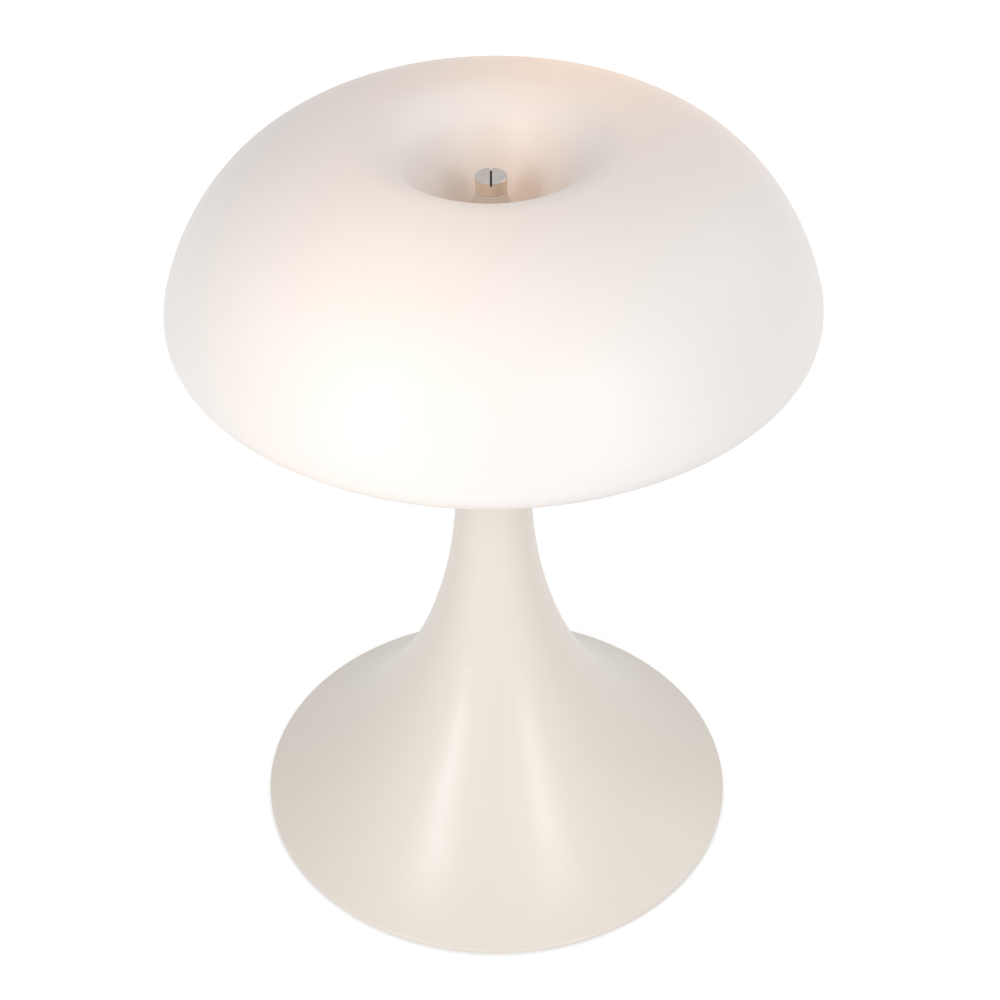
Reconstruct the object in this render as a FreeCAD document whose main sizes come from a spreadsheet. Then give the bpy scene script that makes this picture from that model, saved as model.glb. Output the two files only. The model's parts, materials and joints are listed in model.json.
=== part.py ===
import FreeCAD, Part
import math
import os
import Sketcher

# Mushroom table lamp: a trumpet-shaped metal base, an opal shade with a deep dimple, and a slotted
# finial that holds the shade on a threaded stem tube. Millimetres, +Z up. The origin is on the
# table, on the lamp's own axis. +Y is the back, where the cord bush is.

DIMENSIONS = [
    # Trumpet base: a spun shell, two arcs from the upright neck down to the rim
    ("rim_radius", 164.8, "widest radius of the base"),
    ("rim_gap", 1.8, "height of the rim's lower edge above the table"),
    ("rim_band", 1.7, "height of the upright edge of the rim"),
    ("rim_rounding", 1.6, "rounding between the rim and the flare"),
    ("shell_wall", 1.5, "sheet thickness of the spun shell"),
    ("flare_upper_radius", 365.0, "radius of the slow curve under the neck"),
    ("flare_upper_angle", 19.9, "angle that the upper curve turns through"),
    ("flare_rim_angle", 58.2, "angle from upright that the flare has reached at the rim"),
    ("neck_radius", 24.9, "outer radius of the upright neck"),
    ("neck_top_height", 396.0, "top edge of the spun neck"),
    # Closing plate, foot and ballast
    ("foot_thickness", 3.0, "thickness of the rubber foot ring"),
    ("foot_inset", 14.8, "distance of the foot ring's outer edge inside the rim"),
    ("foot_width", 10.0, "width of the foot ring"),
    ("plate_thickness", 2.0, "thickness of the bottom plate"),
    ("fit_gap", 0.3, "clearance between pieces that only lie next to each other"),
    ("running_gap", 0.05, "radial clearance of a pin or a thread in its bore"),
    ("edge_break", 0.5, "chamfer of a turned edge"),
    ("lead_in", 1.0, "chamfer that leads a piece into its seat"),
    ("cut_overrun", 1.0, "extra length of a cut that runs out of a piece"),
    ("ballast_radius", 62.0, "radius of the cast ballast"),
    ("ballast_clamp", 9.0, "thickness of the ballast that the stem's washer bears on"),
    ("ballast_taper", 5.0, "draft of the ballast's side, measured along the radius"),
    ("recess_room", 5.5, "free space round the washer in the ballast's nut recess"),
    ("channel_gap", 1.0, "free space round the cable in the ballast's channel"),
    ("plate_screw_count", 3, "number of plate screws"),
    ("plate_screw_inset", 20.0, "distance of the plate screws inside the ballast's edge"),
    ("plate_screw_radius", 2.0, "shank radius of a plate screw"),
    ("plate_screw_length", 12.0, "length of a plate screw"),
    ("plate_screw_head_radius", 3.8, "radius of a plate screw's pan head"),
    ("plate_screw_head_height", 1.95, "height of a plate screw's pan head"),
    ("driver_slot", 1.0, "width of the slot in a plate screw"),
    # Stem tube and its nuts
    ("stem_radius", 5.0, "outer radius of the threaded stem tube"),
    ("stem_wall", 1.25, "wall of the stem tube"),
    ("nut_across_flats", 15.0, "hexagon of the stem nuts"),
    ("nut_thickness", 4.0, "height of the stem nuts"),
    ("washer_thickness", 1.0, "thickness of the stem washers"),
    ("washer_radius", 9.5, "radius of the stem washers"),
    ("stem_tail", 0.5, "length of stem below its bottom nut"),
    ("stem_clear", 33.3, "free length of stem between the bracket nut and the gallery nut"),
    # Neck cap and bracket
    ("cap_flange", 4.0, "height of the neck cap above the shell"),
    ("cap_spigot", 9.0, "depth of the neck cap inside the shell"),
    ("cap_rounding", 1.5, "rounding of the neck cap's upper edge"),
    ("bracket_sheet", 2.0, "sheet thickness of the holder bracket"),
    ("bracket_hub_radius", 20.0, "radius of the bracket's hub"),
    ("bracket_bend", 3.0, "inner radius of the bend of each arm"),
    ("arm_width", 20.0, "width of a bracket arm"),
    ("arm_root", 5.0, "length of an arm inside the hub's edge"),
    ("ear_reach", 25.0, "distance of an ear's inner face from the lamp's axis"),
    ("ear_top", 9.0, "height of an ear above the holder's axis"),
    ("holder_rise", 22.0, "height of the holders' axis above the bracket sheet"),
    ("holder_count", 3, "number of lampholders"),
    ("first_holder_angle", -102.0, "direction of the first lampholder"),
    # Lampholder for a small screw cap, along its own axis
    ("nipple_radius", 5.0, "outer radius of the holder's nipple"),
    ("nipple_bore", 3.4, "bore radius of the nipple"),
    ("nipple_nut_flats", 14.0, "hexagon of the nipple's nut"),
    ("nipple_nut_thickness", 3.5, "height of the nipple's nut"),
    ("nipple_tail", 1.0, "length of nipple past its nut"),
    ("holder_radius", 13.5, "outer radius of the holder's dome"),
    ("holder_dome_length", 14.0, "length of the holder's dome"),
    ("holder_thread_depth", 7.0, "depth of the nipple thread in the dome"),
    ("holder_wall", 2.3, "wall of the holder's dome"),
    ("holder_rounding", 5.0, "rounding of the dome's back edge"),
    ("skirt_radius", 12.6, "outer radius of the holder's skirt"),
    ("skirt_length", 28.0, "length of the skirt in front of the dome"),
    ("skirt_bore", 8.0, "bore radius of the skirt"),
    ("skirt_spigot", 4.5, "length of the skirt inside the dome"),
    ("skirt_collar", 2.0, "length of the skirt's collar against the dome"),
    ("skirt_bead", 0.8, "height of the bead round the skirt's mouth"),
    ("skirt_bead_length", 3.0, "length of the bead round the skirt's mouth"),
    ("skirt_web_inset", 1.5, "distance of the skirt's inner web from the dome's end"),
    ("screw_shell_radius", 7.7, "outer radius of the screw shell"),
    ("screw_shell_wall", 0.45, "wall of the screw shell"),
    ("screw_shell_length", 22.0, "length of the screw shell"),
    ("screw_shell_seat", 2.5, "width of the screw shell's inner flange"),
    ("screw_shell_flare", 0.2, "widening of the screw shell's mouth"),
    ("contact_radius", 2.4, "radius of the centre contact"),
    ("contact_head_height", 1.0, "height of the centre contact's head"),
    ("contact_tail", 3.0, "length of the centre contact behind the dome's end"),
    # Bulb
    ("bulb_cap_radius", 6.95, "outer radius of the bulb's screw cap"),
    ("bulb_cap_length", 20.0, "length of the screw cap"),
    ("bulb_cap_wall", 0.5, "wall of the screw cap"),
    ("bulb_cap_cone", 1.5, "slope at the closed end of the cap"),
    ("bulb_cap_edge", 0.4, "rolled edge at the open end of the cap"),
    ("bulb_tip_length", 3.0, "length of the insulated tip behind the cap"),
    ("bulb_tip_margin", 2.5, "width of the cap's end outside the insulated tip"),
    ("bulb_neck_tail", 6.0, "length of the glass neck inside the cap"),
    ("bulb_radius", 22.5, "radius of the glass ball"),
    ("bulb_length", 78.0, "length of the bulb from its tip to the end of the glass"),
    ("bulb_glass", 0.8, "wall of the glass"),
    ("bulb_neck_radius", 6.2, "radius of the glass inside the cap"),
    ("bulb_cove", 19.0, "radius of the curve from the bulb's neck into its ball"),
    ("bulb_cove_angle", 38.0, "angle from the bulb's axis at which the curve meets the ball"),
    # Wiring that the lamp holds
    ("cable_radius", 2.5, "radius of the feed cable"),
    ("cable_lift", 2.0, "height of the feed cable's underside above the plate"),
    ("cable_bend", 8.0, "bend radius of the feed cable under the stem"),
    ("cable_room", 9.5, "height under the stem for the cable's bend"),
    ("lead_radius", 1.4, "radius of a holder lead"),
    ("lead_hole_radius", 2.2, "radius of the lead holes in the stem"),
    ("terminal_setback", 28.0, "distance from the bush's inner end to the terminal block's middle"),
    ("terminal_width", 20.0, "width of the terminal block"),
    ("terminal_depth", 16.0, "depth of the terminal block"),
    ("terminal_height", 8.5, "height of the terminal block's body"),
    ("turret_radius", 3.6, "radius of a terminal turret"),
    ("turret_rise", 4.5, "height of a turret above the body"),
    ("turret_pitch_x", 11.0, "distance between the two poles"),
    ("turret_pitch_y", 8.0, "distance between the two turrets of a pole"),
    ("turret_wall", 1.5, "wall of a turret round its screw"),
    ("terminal_screw_length", 3.0, "length of a terminal screw"),
    ("terminal_screw_sink", 1.0, "depth of a terminal screw's foot inside the body"),
    ("fixing_screw_radius", 1.6, "shank radius of the block's fixing screw"),
    ("fixing_screw_head_radius", 3.0, "radius of the fixing screw's head"),
    ("fixing_screw_head_height", 1.6, "height of the fixing screw's head"),
    ("fixing_screw_head_bend", 2.4, "rounding of the fixing screw's head"),
    # Cord bush at the back
    ("bush_height", 13.0, "height of the cord bush's axis"),
    ("bush_radius", 5.2, "radius of the bush's barrel"),
    ("bush_bore", 3.4, "bore radius of the bush"),
    ("bush_flange_radius", 7.2, "radius of the bush's outer lip"),
    ("bush_lip", 1.2, "height of the bush's lip above the flare"),
    ("bush_length", 34.0, "length of the bush"),
    ("bush_collar", 3.0, "length of the bush's inner collar"),
    ("bush_collar_height", 1.2, "height of the bush's inner collar"),
    ("bush_inset", 2.8, "distance of the bush's outer end inside the rim"),
    # Shade: three arcs outside, a steep dimple inside, one wall thickness
    ("shade_radius", 200.0, "widest radius of the shade"),
    ("shade_wall", 3.0, "wall of the shade"),
    ("crown_arc", 119.0, "radius of the crown's outer curve"),
    ("crown_angle", 54.2, "slope at the end of the crown's curve"),
    ("flank_arc", 148.0, "radius of the flank's flatter curve"),
    ("flank_angle", 74.5, "slope at the end of the flank's curve"),
    ("shoulder_arc", 41.0, "radius of the curve that ends at the widest point"),
    ("lip_arc", 12.8, "radius of the curve that runs in under the widest point"),
    ("lip_angle", 150.0, "slope at the end of the lip's curve"),
    ("dimple_mouth_arc", 30.5, "radius of the curve that runs into the dimple"),
    ("dimple_floor_arc", 14.0, "radius of the curve at the foot of the dimple"),
    ("dimple_floor_radius", 17.2, "radius of the flat floor of the dimple"),
    ("dimple_depth", 75.0, "depth of the dimple's floor below the crown"),
    ("shade_hole", 7.6, "radius of the hole in the dimple's floor"),
    # What clamps the shade
    ("seal_thickness", 1.5, "thickness of the rubber seal under the shade"),
    ("gallery_thickness", 2.5, "thickness of the gallery plate"),
    ("gallery_spigot", 4.0, "height of the gallery's centring spigot"),
    ("floor_washer_thickness", 1.0, "thickness of the fibre washer in the dimple"),
    ("collar_foot_radius", 15.5, "radius of the collar's foot"),
    ("collar_foot_height", 3.0, "height of the collar's foot"),
    ("collar_shoulder_radius", 12.0, "radius of the collar under its cove"),
    ("collar_cove", 3.2, "height of the cove at the collar's top"),
    ("collar_cove_radius", 3.5, "radius of the cove at the collar's top"),
    ("finial_radius", 9.65, "radius of the finial's head"),
    ("finial_top_depth", 23.2, "depth of the finial's top below the crown"),
    ("finial_head", 8.8, "height of the finial's head"),
    ("finial_edge", 0.35, "chamfer of the finial's edges"),
    ("finial_shank_radius", 7.0, "radius of the finial's threaded shank"),
    ("finial_shank", 9.0, "length of the shank below the head"),
    ("finial_crown", 4.6, "solid thickness above the finial's blind bore"),
    ("finial_washer_thickness", 0.8, "thickness of the nylon washer under the finial"),
    ("slot_width", 1.25, "width of the finial's slot"),
    ("slot_depth", 2.0, "depth of the finial's slot"),
    ("stem_top_gap", 1.5, "free space between the stem and the end of the finial's bore"),
]

# Which way a pocket from an origin plane has to run to cut towards +Y, +X or +Z
BACK_POCKET_REVERSED = False
SIDE_POCKET_REVERSED = True
UP_POCKET_REVERSED = True

doc = FreeCAD.newDocument("MushroomLamp")
sheet = doc.addObject("Spreadsheet::Sheet", "Dimensions")
derived = doc.addObject("App::VarSet", "Derived")
parts = []


class Size:
    """A length, angle or count: its value, and the formula that binds it to the sheet."""

    def __init__(self, value, formula):
        self.value = value
        self.formula = formula

    def __add__(self, other):
        other = as_size(other)
        return Size(self.value + other.value, "(" + self.formula + " + " + other.formula + ")")

    def __sub__(self, other):
        other = as_size(other)
        return Size(self.value - other.value, "(" + self.formula + " - " + other.formula + ")")

    def __mul__(self, other):
        other = as_size(other)
        return Size(self.value * other.value, self.formula + " * " + other.formula)

    def __truediv__(self, other):
        other = as_size(other)
        return Size(self.value / other.value, self.formula + " / " + other.formula)

    def __neg__(self):
        return Size(-self.value, "(0 - " + self.formula + ")")

    def __radd__(self, other):
        return as_size(other) + self

    def __rsub__(self, other):
        return as_size(other) - self

    def __rmul__(self, other):
        return as_size(other) * self


def as_size(item):
    """Plain numbers are allowed wherever a Size is."""
    if isinstance(item, Size):
        return item
    return Size(float(item), str(float(item)))


def sine(angle):
    return Size(math.sin(math.radians(angle.value)), "sin(" + angle.formula + ")")


def cosine(angle):
    return Size(math.cos(math.radians(angle.value)), "cos(" + angle.formula + ")")


def root(number):
    return Size(math.sqrt(number.value), "sqrt(" + number.formula + ")")


def fill_sheet():
    """Write the driving dimensions to the sheet and return each one as a Size."""
    found = {}
    for row, (alias, value, meaning) in enumerate(DIMENSIONS, start=1):
        sheet.set("A" + str(row), alias)
        sheet.set("B" + str(row), str(value))
        sheet.set("C" + str(row), meaning)
        sheet.setAlias("B" + str(row), alias)
    doc.recompute()
    for alias, value, meaning in DIMENSIONS:
        found[alias] = Size(float(getattr(sheet, alias)), "Dimensions." + alias)
    return found


def derive(name, size):
    """Keep a worked-out size as a bound property of its own, so that formulas stay short."""
    derived.addProperty("App::PropertyFloat", name)
    derived.setExpression(name, size.formula)
    return Size(size.value, "Derived." + name)


def bind(thing, name, size):
    """Bind one property of an object to a Size."""
    thing.setExpression(name, as_size(size).formula)


# ---------------------------------------------------------------- sketches and features

def new_body(label):
    body = doc.addObject("PartDesign::Body", label)
    body.Label = label
    return body


def new_sketch(body, name, plane, offset=None):
    """A sketch on one of the body's own origin planes, moved along its normal by the offset."""
    sketch = body.newObject("Sketcher::SketchObject", name)
    planes = {item.Role: item for item in body.Origin.OriginFeatures}
    sketch.AttachmentSupport = [(planes[plane], "")]
    sketch.MapMode = "FlatFace"
    if offset is not None:
        bind(sketch, "AttachmentOffset.Base.z", offset)
    return sketch


def pin(sketch, edge, end, size, direction, axis):
    """Hold one end of an edge at a distance from the sketch's origin."""
    size = as_size(size)
    if size.value == 0.0:
        sketch.addConstraint(Sketcher.Constraint("PointOnObject", edge, end, axis))
        return
    if size.value > 0.0:
        rule = Sketcher.Constraint(direction, -1, 1, edge, end, size.value)
        formula = size.formula
    else:
        rule = Sketcher.Constraint(direction, edge, end, -1, 1, -size.value)
        formula = (-size).formula
    index = sketch.addConstraint(rule)
    sketch.setExpression("Constraints[" + str(index) + "]", formula)


def pin_point(sketch, edge, end, x, y):
    pin(sketch, edge, end, x, "DistanceX", -2)
    pin(sketch, edge, end, y, "DistanceY", -1)


def add_arc(sketch, start, end, radius, side):
    """Arc between two corners; side is 1 for a centre on the left of the run, -1 on the right."""
    x0, y0 = start
    x1, y1 = end
    chord = math.hypot(x1 - x0, y1 - y0)
    rise = math.sqrt(max(radius * radius - chord * chord / 4.0, 0.0)) * side
    centre_x = (x0 + x1) / 2.0 - (y1 - y0) / chord * rise
    centre_y = (y0 + y1) / 2.0 + (x1 - x0) / chord * rise
    first = math.atan2(y0 - centre_y, x0 - centre_x)
    last = math.atan2(y1 - centre_y, x1 - centre_x)
    if side < 0:
        first, last = last, first
    if last < first:
        last += 2.0 * math.pi
    circle = Part.Circle(FreeCAD.Vector(centre_x, centre_y, 0), FreeCAD.Vector(0, 0, 1), radius)
    return sketch.addGeometry(Part.ArcOfCircle(circle, first, last), False)


def draw(sketch, path, closed=True):
    """Draw a path. A corner is (x, y) where a straight run reaches it, or (x, y, radius, side)
    where an arc does. Every corner is held from the origin, and every arc by its radius."""
    corners = [(as_size(item[0]), as_size(item[1])) for item in path]
    ends = []
    first = 0 if closed else 1
    for number in range(first, len(path)):
        start_x, start_y = corners[number - 1]
        end_x, end_y = corners[number]
        start = (start_x.value, start_y.value)
        end = (end_x.value, end_y.value)
        if len(path[number]) == 2:
            line = Part.LineSegment(FreeCAD.Vector(*start, 0), FreeCAD.Vector(*end, 0))
            ends.append((sketch.addGeometry(line, False), 1, 2))
            continue
        radius = as_size(path[number][2])
        side = path[number][3]
        edge = add_arc(sketch, start, end, radius.value, side)
        index = sketch.addConstraint(Sketcher.Constraint("Radius", edge, radius.value))
        sketch.setExpression("Constraints[" + str(index) + "]", radius.formula)
        ends.append((edge, 1, 2) if side > 0 else (edge, 2, 1))
    for number, (edge, begin, end) in enumerate(ends):
        corner_x, corner_y = corners[(number + first) % len(corners)]
        pin_point(sketch, edge, end, corner_x, corner_y)
        if closed or number + 1 < len(ends):
            next_edge, next_begin, next_end = ends[(number + 1) % len(ends)]
            sketch.addConstraint(Sketcher.Constraint("Coincident", edge, end, next_edge, next_begin))
    if not closed:
        pin_point(sketch, ends[0][0], ends[0][1], corners[0][0], corners[0][1])


def draw_circle(sketch, x, y, radius):
    x, y, radius = as_size(x), as_size(y), as_size(radius)
    centre = FreeCAD.Vector(x.value, y.value, 0)
    edge = sketch.addGeometry(Part.Circle(centre, FreeCAD.Vector(0, 0, 1), radius.value), False)
    pin_point(sketch, edge, 3, x, y)
    index = sketch.addConstraint(Sketcher.Constraint("Radius", edge, radius.value))
    sketch.setExpression("Constraints[" + str(index) + "]", radius.formula)


def draw_rectangle(sketch, x0, y0, x1, y1):
    draw(sketch, [(x0, y0), (x1, y0), (x1, y1), (x0, y1)])


def pad(body, sketch, length, midplane=False, reverse=False):
    feature = body.newObject("PartDesign::Pad", sketch.Name + "Pad")
    feature.Profile = sketch
    bind(feature, "Length", length)
    feature.SideType = "Symmetric" if midplane else "One side"
    feature.Reversed = reverse
    return feature


def pocket(body, sketch, length, midplane=False, reverse=False):
    """Cut a sketch out of the body, and make sure that material went."""
    doc.recompute()
    before = body.Shape.Volume
    feature = body.newObject("PartDesign::Pocket", sketch.Name + "Pocket")
    feature.Profile = sketch
    bind(feature, "Length", length)
    feature.SideType = "Symmetric" if midplane else "One side"
    feature.Reversed = reverse
    doc.recompute()
    if not body.Shape.Volume < before:
        raise ValueError(sketch.Name + " cuts nothing")
    return feature


def around(body, sketch, features, count):
    """Repeat features about the normal of a sketch that is centred on the axis."""
    pattern = body.newObject("PartDesign::PolarPattern", sketch.Name + "Ring")
    pattern.Originals = features
    pattern.Axis = (sketch, ["N_Axis"])
    pattern.Angle = 360.0
    bind(pattern, "Occurrences", count)
    body.Tip = pattern
    return pattern


def turned(label, path):
    """A body turned about its own Z axis from a closed outline of (radius, height)."""
    body = new_body(label)
    sketch = new_sketch(body, label + "_outline", "XZ_Plane")
    draw(sketch, path)
    feature = body.newObject("PartDesign::Revolution", label + "_turning")
    feature.Profile = sketch
    feature.ReferenceAxis = (sketch, ["V_Axis"])
    feature.Angle = 360.0
    return body


def ring(label, inner, outer, bottom, top):
    """A plain ring or washer between two heights."""
    return turned(label, [(inner, bottom), (outer, bottom), (outer, top), (inner, top)])


def hex_nut(label, across_flats, bore, thickness):
    """A hexagon nut standing on its own origin, its upper corners turned off."""
    prism = doc.addObject("Part::Prism", label + "_hexagon")
    prism.Polygon = 6
    corner = across_flats / root(as_size(3.0))
    bind(prism, "Circumradius", corner)
    bind(prism, "Height", thickness)
    corner_turning = turned(label + "_turning", [
        (bore, 0), (corner, 0), (corner, thickness - size["edge_break"]),
        (across_flats / 2, thickness), (bore, thickness)])
    nut = doc.addObject("Part::Common", label)
    nut.Base = prism
    nut.Tool = corner_turning
    nut.Label = label
    return nut


def keep(piece, height=None):
    """List a finished sub-part, standing at a height above the table."""
    if height is not None:
        bind(piece, "Placement.Base.z", height)
    parts.append(piece)
    return piece


def aim(piece, number):
    """Lay a piece that was made along Z out from the stem, along lampholder number's axis."""
    angle = size["first_holder_angle"].value + 360.0 / size["holder_count"].value * number
    out = FreeCAD.Rotation(FreeCAD.Vector(0, 0, 1), angle)
    lay = FreeCAD.Rotation(FreeCAD.Vector(0, 1, 0), 90.0)
    piece.Placement = FreeCAD.Placement(FreeCAD.Vector(0, 0, 0), out.multiply(lay))
    bind(piece, "Placement.Base.z", holder_axis_height)
    return piece


def group(label, pieces):
    """Several alike solids as one sub-part."""
    compound = doc.addObject("Part::Compound", label)
    compound.Links = pieces
    compound.Label = label
    return compound


# ---------------------------------------------------------------- worked-out sizes

size = fill_sheet()
fit_gap = size["fit_gap"]
running_gap = size["running_gap"]
holder_count = size["holder_count"]

# The flare's two arcs have their centres outside the shell. Each is followed by the angle from
# upright that the surface has turned through.
upper_angle = size["flare_upper_angle"]
rim_angle = size["flare_rim_angle"]
rim_top = derive("rim_top", size["rim_gap"] + size["rim_band"])
flare_end_radius = derive("flare_end_radius",
                          size["rim_radius"] - size["rim_rounding"] * (1 - cosine(rim_angle)))
flare_end_height = derive("flare_end_height", rim_top + size["rim_rounding"] * sine(rim_angle))
flare_break_radius = derive("flare_break_radius", size["neck_radius"]
                            + size["flare_upper_radius"] * (1 - cosine(upper_angle)))
flare_lower_radius = derive("flare_lower_radius", (flare_end_radius - flare_break_radius)
                            / (cosine(upper_angle) - cosine(rim_angle)))
flare_break_height = derive("flare_break_height", flare_end_height
                            + flare_lower_radius * (sine(rim_angle) - sine(upper_angle)))
neck_foot_height = derive("neck_foot_height", flare_break_height
                          + size["flare_upper_radius"] * sine(upper_angle))
flare_centre_radius = derive("flare_centre_radius",
                             flare_break_radius + flare_lower_radius * cosine(upper_angle))
flare_centre_height = derive("flare_centre_height",
                             flare_break_height + flare_lower_radius * sine(upper_angle))


def under_flare(height, gap):
    """Radius of the shell's inside at a height on its lower arc, less a gap square to it."""
    drop = flare_centre_height - height
    reach = flare_lower_radius + size["shell_wall"] + gap
    return flare_centre_radius - root(reach * reach - drop * drop)


# Heights inside the base
plate_bottom = size["foot_thickness"]
plate_top = derive("plate_top", plate_bottom + size["plate_thickness"])
foot_radius = derive("foot_radius", size["rim_radius"] - size["foot_inset"])
stem_bore = derive("stem_bore", size["stem_radius"] - size["stem_wall"])
stem_bottom = derive("stem_bottom", plate_top + size["cable_room"])
bottom_nut_bottom = derive("bottom_nut_bottom", stem_bottom + size["stem_tail"])
bottom_nut_top = derive("bottom_nut_top", bottom_nut_bottom + size["nut_thickness"])
recess_top = derive("recess_top", bottom_nut_top + size["washer_thickness"])
recess_radius = derive("recess_radius", size["washer_radius"] + size["recess_room"])
ballast_top = derive("ballast_top", recess_top + size["ballast_clamp"])
plate_screw_circle = derive("plate_screw_circle", size["ballast_radius"] - size["plate_screw_inset"])
cable_rise = derive("cable_rise", size["cable_lift"] + size["cable_radius"])
cable_height = derive("cable_height", plate_top + cable_rise)
bush_outer_end = derive("bush_outer_end", size["rim_radius"] - size["bush_inset"])
bush_inner_end = derive("bush_inner_end", bush_outer_end - size["bush_length"])
terminal_distance = derive("terminal_distance", bush_inner_end - size["terminal_setback"])

# Heights above the neck, up the clamped stack to the shade's floor and its crown
cap_top = derive("cap_top", size["neck_top_height"] + size["cap_flange"])
bracket_top = derive("bracket_top", cap_top + size["bracket_sheet"])
bracket_nut_bottom = derive("bracket_nut_bottom", bracket_top + size["washer_thickness"])
holder_axis_height = derive("holder_axis_height", bracket_top + size["holder_rise"])
gallery_nut_bottom = derive("gallery_nut_bottom",
                            bracket_nut_bottom + size["nut_thickness"] + size["stem_clear"])
gallery_bottom = derive("gallery_bottom", gallery_nut_bottom + size["nut_thickness"])
gallery_top = derive("gallery_top", gallery_bottom + size["gallery_thickness"])
floor_under = derive("floor_under", gallery_top + size["seal_thickness"])
floor_top = derive("floor_top", floor_under + size["shade_wall"])
crown_height = derive("crown_height", floor_top + size["dimple_depth"])

# Lampholder stations, measured out from the stem along the holder's axis
ear_outer = derive("ear_outer", size["ear_reach"] + size["bracket_sheet"])
dome_end = derive("dome_end", ear_outer + size["holder_dome_length"])
skirt_end = derive("skirt_end", dome_end + size["skirt_length"])
skirt_web = derive("skirt_web", dome_end + size["skirt_web_inset"])
screw_shell_end = derive("screw_shell_end", skirt_web + size["screw_shell_length"])
contact_head = derive("contact_head",
                      skirt_web + size["screw_shell_wall"] + size["contact_head_height"])
bulb_tip = derive("bulb_tip", contact_head + fit_gap)
bulb_cap_start = derive("bulb_cap_start", bulb_tip + size["bulb_tip_length"])
bulb_cap_end = derive("bulb_cap_end", bulb_cap_start + size["bulb_cap_length"])
bulb_end = derive("bulb_end", bulb_tip + size["bulb_length"])
bulb_centre = derive("bulb_centre", bulb_end - size["bulb_radius"])

# Shade: the crown ring is the highest line. Outside it three arcs fall to the widest point.
crown_angle = size["crown_angle"]
flank_angle = size["flank_angle"]
lip_angle = size["lip_angle"]
crown_radius = derive("crown_radius", size["shade_radius"]
                      - size["crown_arc"] * sine(crown_angle)
                      - size["flank_arc"] * (sine(flank_angle) - sine(crown_angle))
                      - size["shoulder_arc"] * (1 - sine(flank_angle)))
crown_centre = (crown_radius, derive("crown_centre", crown_height - size["crown_arc"]))
flank_step = size["crown_arc"] - size["flank_arc"]
flank_centre = (derive("flank_centre_radius", crown_centre[0] + flank_step * sine(crown_angle)),
                derive("flank_centre_height", crown_centre[1] + flank_step * cosine(crown_angle)))
shoulder_step = size["flank_arc"] - size["shoulder_arc"]
shoulder_centre = (
    derive("shoulder_centre_radius", flank_centre[0] + shoulder_step * sine(flank_angle)),
    derive("widest_height", flank_centre[1] + shoulder_step * cosine(flank_angle)))
lip_centre = (derive("lip_centre_radius", size["shade_radius"] - size["lip_arc"]),
              shoulder_centre[1])

# Dimple: an arc in from the crown, a straight steep wall, and an arc out to the flat floor.
dimple_mouth_centre = (crown_radius,
                       derive("mouth_centre_height", crown_height - size["dimple_mouth_arc"]))
dimple_floor_centre = (size["dimple_floor_radius"],
                       derive("floor_centre_height", floor_top + size["dimple_floor_arc"]))
dimple_run = derive("dimple_run", crown_radius - size["dimple_floor_radius"])
dimple_fall = derive("dimple_fall", dimple_mouth_centre[1] - dimple_floor_centre[1])
dimple_span = derive("dimple_span", root(dimple_run * dimple_run + dimple_fall * dimple_fall))
dimple_arcs = size["dimple_mouth_arc"] + size["dimple_floor_arc"]
wall_angle_value = math.degrees(math.atan2(dimple_fall.value, dimple_run.value)
                               + math.asin(dimple_arcs.value / dimple_span.value))
wall_angle = derive("wall_angle", Size(
    wall_angle_value, "atan2(" + dimple_fall.formula + "; " + dimple_run.formula + ") + asin("
    + dimple_arcs.formula + " / " + dimple_span.formula + ")"))

# From the dimple's floor up to the finial and the end of the stem
collar_bottom = derive("collar_bottom", floor_top + size["floor_washer_thickness"])
finial_top = derive("finial_top", crown_height - size["finial_top_depth"])
finial_head_bottom = derive("finial_head_bottom", finial_top - size["finial_head"])
collar_top = derive("collar_top", finial_head_bottom - size["finial_washer_thickness"])
finial_bore_end = derive("finial_bore_end", finial_top - size["finial_crown"])
stem_top = derive("stem_top", finial_bore_end - size["stem_top_gap"])


# ---------------------------------------------------------------- base

def flare_path(offset):
    """The shell's surface from the neck's top down to the rim's rounding, moved inwards by an
    offset. A negative offset gives a surface outside the shell."""
    return [
        (size["neck_radius"] - offset, size["neck_top_height"]),
        (size["neck_radius"] - offset, neck_foot_height),
        (flare_break_radius - offset * cosine(upper_angle),
         flare_break_height - offset * sine(upper_angle), size["flare_upper_radius"] + offset, 1),
        (flare_end_radius - offset * cosine(rim_angle),
         flare_end_height - offset * sine(rim_angle), flare_lower_radius + offset, 1)]


def make_base_shell():
    """The spun trumpet, with its rounded rim and the cord bush's hole at the back."""
    outside = flare_path(as_size(0))
    inside = flare_path(size["shell_wall"])
    path = [outside[0], outside[1], outside[2], outside[3],
            (size["rim_radius"], rim_top, size["rim_rounding"], -1),
            (size["rim_radius"], size["rim_gap"]),
            (inside[3][0], size["rim_gap"]),
            (inside[3][0], inside[3][1]),
            (inside[2][0], inside[2][1], flare_lower_radius + size["shell_wall"], -1),
            (inside[1][0], inside[1][1], size["flare_upper_radius"] + size["shell_wall"], -1),
            (inside[0][0], inside[0][1])]
    body = turned("base_shell", path)
    hole = new_sketch(body, "bush_hole", "XZ_Plane")
    draw_circle(hole, 0, size["bush_height"], size["bush_radius"] + fit_gap / 3)
    pocket(body, hole, size["rim_radius"] + size["cut_overrun"], reverse=BACK_POCKET_REVERSED)
    return keep(body)


def make_bottom_plate():
    """The pressed plate that closes the base, held up against the ballast by three screws."""
    edge = derive("plate_radius", under_flare(plate_top, fit_gap))
    body = turned("bottom_plate", [
        (0, plate_bottom), (edge - size["lead_in"], plate_bottom), (edge, plate_top),
        (0, plate_top)])
    holes = new_sketch(body, "plate_screw_holes", "XY_Plane")
    draw_circle(holes, plate_screw_circle, 0, size["plate_screw_radius"] + fit_gap)
    cut = pocket(body, holes, plate_top * 2, midplane=True)
    around(body, holes, [cut], size["plate_screw_count"])
    return keep(body)


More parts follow.
